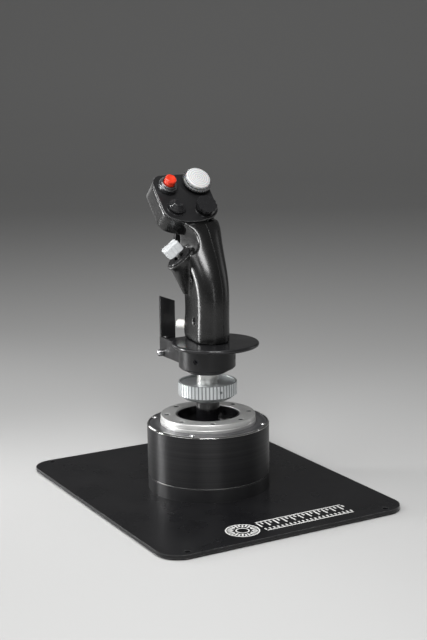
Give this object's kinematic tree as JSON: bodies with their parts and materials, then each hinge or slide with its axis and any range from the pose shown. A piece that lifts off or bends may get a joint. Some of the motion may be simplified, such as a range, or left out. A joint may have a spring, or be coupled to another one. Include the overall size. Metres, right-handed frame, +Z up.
{
  "type": "flight joystick",
  "caption": "Flight stick: pistol grip with tilting hats, buttons, trigger and paddle, held by a ribbed nut on a gimbal in a round base on a flat mounting plate.",
  "frame": {"origin": "centre of the round base, on the plane of the rubber feet", "axes": "+X to the pilot's right, +Y forward and away from the pilot, +Z up along the stick"},
  "size_m": [0.23, 0.283, 0.2831],
  "materials": {
    "plate_black": "satin black paint",
    "anodised_black": "turned and black anodised",
    "bare_silver": "matt clear anodised",
    "bright_steel": "turned bright",
    "dark_screw": "black oxide",
    "spring_steel": "drawn wire",
    "gimbal_metal": "machined",
    "bush_bronze": "sintered",
    "magnet": "nickel plated",
    "board": "green solder mask",
    "rubber": "matt",
    "cup_black": "gloss black",
    "handle_black": "moulded, semi gloss",
    "face_dark": "satin dark grey",
    "hat_black": "satin black",
    "hat_white": "moulded white",
    "thumb_silver": "matt clear anodised",
    "collar_grey": "satin grey",
    "button_red": "moulded red"
  },
  "bodies": {
    "base": {"base_plate": "plate_black", "rubber_feet": "rubber", "base_screws": "dark_screw", "base_casting": "plate_black", "cable_inlet": "rubber", "base_band": "bare_silver", "housing_tube": "anodised_black", "top_disc": "anodised_black", "top_disc_screws": "bright_steel", "clamp_ring": "bare_silver", "clamp_ring_screws": "dark_screw", "dust_cup": "cup_black", "gimbal_yoke": "gimbal_metal", "roll_bushes": "bush_bronze", "roll_springs": "spring_steel", "sensor_board": "board"},
    "roll_ring": {"gimbal_ring": "gimbal_metal", "gimbal_pins": "bright_steel", "pitch_springs": "spring_steel"},
    "stick": {"stick_shaft": "bright_steel", "pitch_bushes": "bush_bronze", "magnet_holder": "gimbal_metal", "magnet": "magnet", "dust_dome": "cup_black", "connector_socket": "hat_black", "connector_plug": "hat_black", "grip_neck": "bright_steel", "lower_housing": "anodised_black", "housing_set_screws": "dark_screw", "hand_rest": "face_dark", "grip_bolts": "dark_screw", "left_shell": "handle_black", "right_shell": "handle_black", "shell_screws": "dark_screw", "face_plate": "face_dark", "switch_board": "board", "red_collar": "collar_grey", "trim_seat": "face_dark", "round_seat": "face_dark", "scallop_seat": "face_dark", "thumb_seat": "thumb_silver", "trigger_pin": "bright_steel", "paddle_pin": "bright_steel", "stop_screws": "dark_screw"},
    "nut_washer": {"nut_washer": "bright_steel"},
    "nut": {"locking_nut": "bare_silver"},
    "trigger": {"trigger": "anodised_black"},
    "paddle": {"paddle_lever": "anodised_black"},
    "red_button": {"red_button": "button_red"},
    "low_button": {"low_button": "hat_white"},
    "trim_cross": {"trim_cross": "hat_black"},
    "trim_hat": {"trim_flange_ring": "bare_silver", "trim_hat": "hat_white"},
    "round_cross": {"round_cross": "hat_black"},
    "round_hat": {"round_hat": "hat_black"},
    "scallop_cross": {"scallop_cross": "hat_black"},
    "scallop_hat": {"scallop_hat": "hat_black"},
    "thumb_cross": {"thumb_cross": "hat_black"},
    "thumb_stem": {"thumb_stem": "bare_silver"},
    "thumb_hat": {"thumb_hat": "thumb_silver"}
  },
  "joints": [
    {"name": "stick_roll", "type": "hinge", "parent": "base", "child": "roll_ring", "pos_m": [0, 0, 0.0365], "axis": [0, 1, 0], "range_deg": [-16, 16], "stiffness_Nm_per_rad": 6},
    {"name": "stick_pitch", "type": "hinge", "parent": "roll_ring", "child": "stick", "pos_m": [0, 0, 0.0365], "axis": [1, 0, 0], "range_deg": [-16, 16], "stiffness_Nm_per_rad": 6},
    {"name": "nut_travel", "type": "slide", "parent": "stick", "child": "nut_washer", "axis": [0, 0, 1], "range_m": [0, 0.00601]},
    {"name": "nut_turn", "type": "hinge", "parent": "nut_washer", "child": "nut", "pos_m": [0, 0, 0.0921], "axis": [0, 0, 1], "range_deg": [0, 1440]},
    {"name": "trigger_pull", "type": "hinge", "parent": "stick", "child": "trigger", "pos_m": [-0.001, 0.03737, 0.25288], "axis": [-1, 0, 0], "range_deg": [0, 8], "stiffness_Nm_per_rad": 0.8},
    {"name": "paddle_squeeze", "type": "hinge", "parent": "stick", "child": "paddle", "pos_m": [0, 0.0465, 0.1185], "axis": [1, 0, 0], "range_deg": [0, 8], "stiffness_Nm_per_rad": 1},
    {"name": "red_press", "type": "slide", "parent": "stick", "child": "red_button", "axis": [0, 0.7314, -0.682], "range_m": [0, 0.0025], "stiffness_N_per_m": 600},
    {"name": "low_press", "type": "slide", "parent": "stick", "child": "low_button", "axis": [0.42, -0.9075, 0], "range_m": [0, 0.002], "stiffness_N_per_m": 600},
    {"name": "trim_hat_rock_y", "type": "hinge", "parent": "stick", "child": "trim_cross", "pos_m": [0.01, 0.03795, 0.26669], "axis": [1, 0, 0], "range_deg": [-7, 7], "stiffness_Nm_per_rad": 0.4},
    {"name": "trim_hat_rock_x", "type": "hinge", "parent": "trim_cross", "child": "trim_hat", "pos_m": [0.01, 0.03795, 0.26669], "axis": [0, 0.682, 0.7314], "range_deg": [-7, 7], "stiffness_Nm_per_rad": 0.4},
    {"name": "round_hat_rock_y", "type": "hinge", "parent": "stick", "child": "round_cross", "pos_m": [-0.0186, 0.02097, 0.24848], "axis": [1, 0, 0], "range_deg": [-7, 7], "stiffness_Nm_per_rad": 0.4},
    {"name": "round_hat_rock_x", "type": "hinge", "parent": "round_cross", "child": "round_hat", "pos_m": [-0.0186, 0.02097, 0.24848], "axis": [0, 0.682, 0.7314], "range_deg": [-7, 7], "stiffness_Nm_per_rad": 0.4},
    {"name": "scallop_hat_rock_y", "type": "hinge", "parent": "stick", "child": "scallop_cross", "pos_m": [0.0073, 0.01824, 0.24556], "axis": [1, 0, 0], "range_deg": [-7, 7], "stiffness_Nm_per_rad": 0.4},
    {"name": "scallop_hat_rock_x", "type": "hinge", "parent": "scallop_cross", "child": "scallop_hat", "pos_m": [0.0073, 0.01824, 0.24556], "axis": [0, 0.682, 0.7314], "range_deg": [-7, 7], "stiffness_Nm_per_rad": 0.4},
    {"name": "thumb_hat_rock_a", "type": "hinge", "parent": "stick", "child": "thumb_cross", "pos_m": [-0.01782, 0.00952, 0.2062], "axis": [0.19, 0.9818, 0], "range_deg": [-7, 7], "stiffness_Nm_per_rad": 0.4},
    {"name": "thumb_hat_rock_b", "type": "hinge", "parent": "thumb_cross", "child": "thumb_stem", "pos_m": [-0.01782, 0.00952, 0.2062], "axis": [-0.7611, 0.1473, -0.6317], "range_deg": [-7, 7], "stiffness_Nm_per_rad": 0.4},
    {"name": "thumb_press", "type": "slide", "parent": "thumb_stem", "child": "thumb_hat", "axis": [0.6202, -0.12, -0.7752], "range_m": [0, 0.0012], "stiffness_N_per_m": 600}
  ],
  "couplings": [
    {"joint": "nut_travel", "follows": "nut_turn", "m_per_rad": 0.00023873}
  ]
}
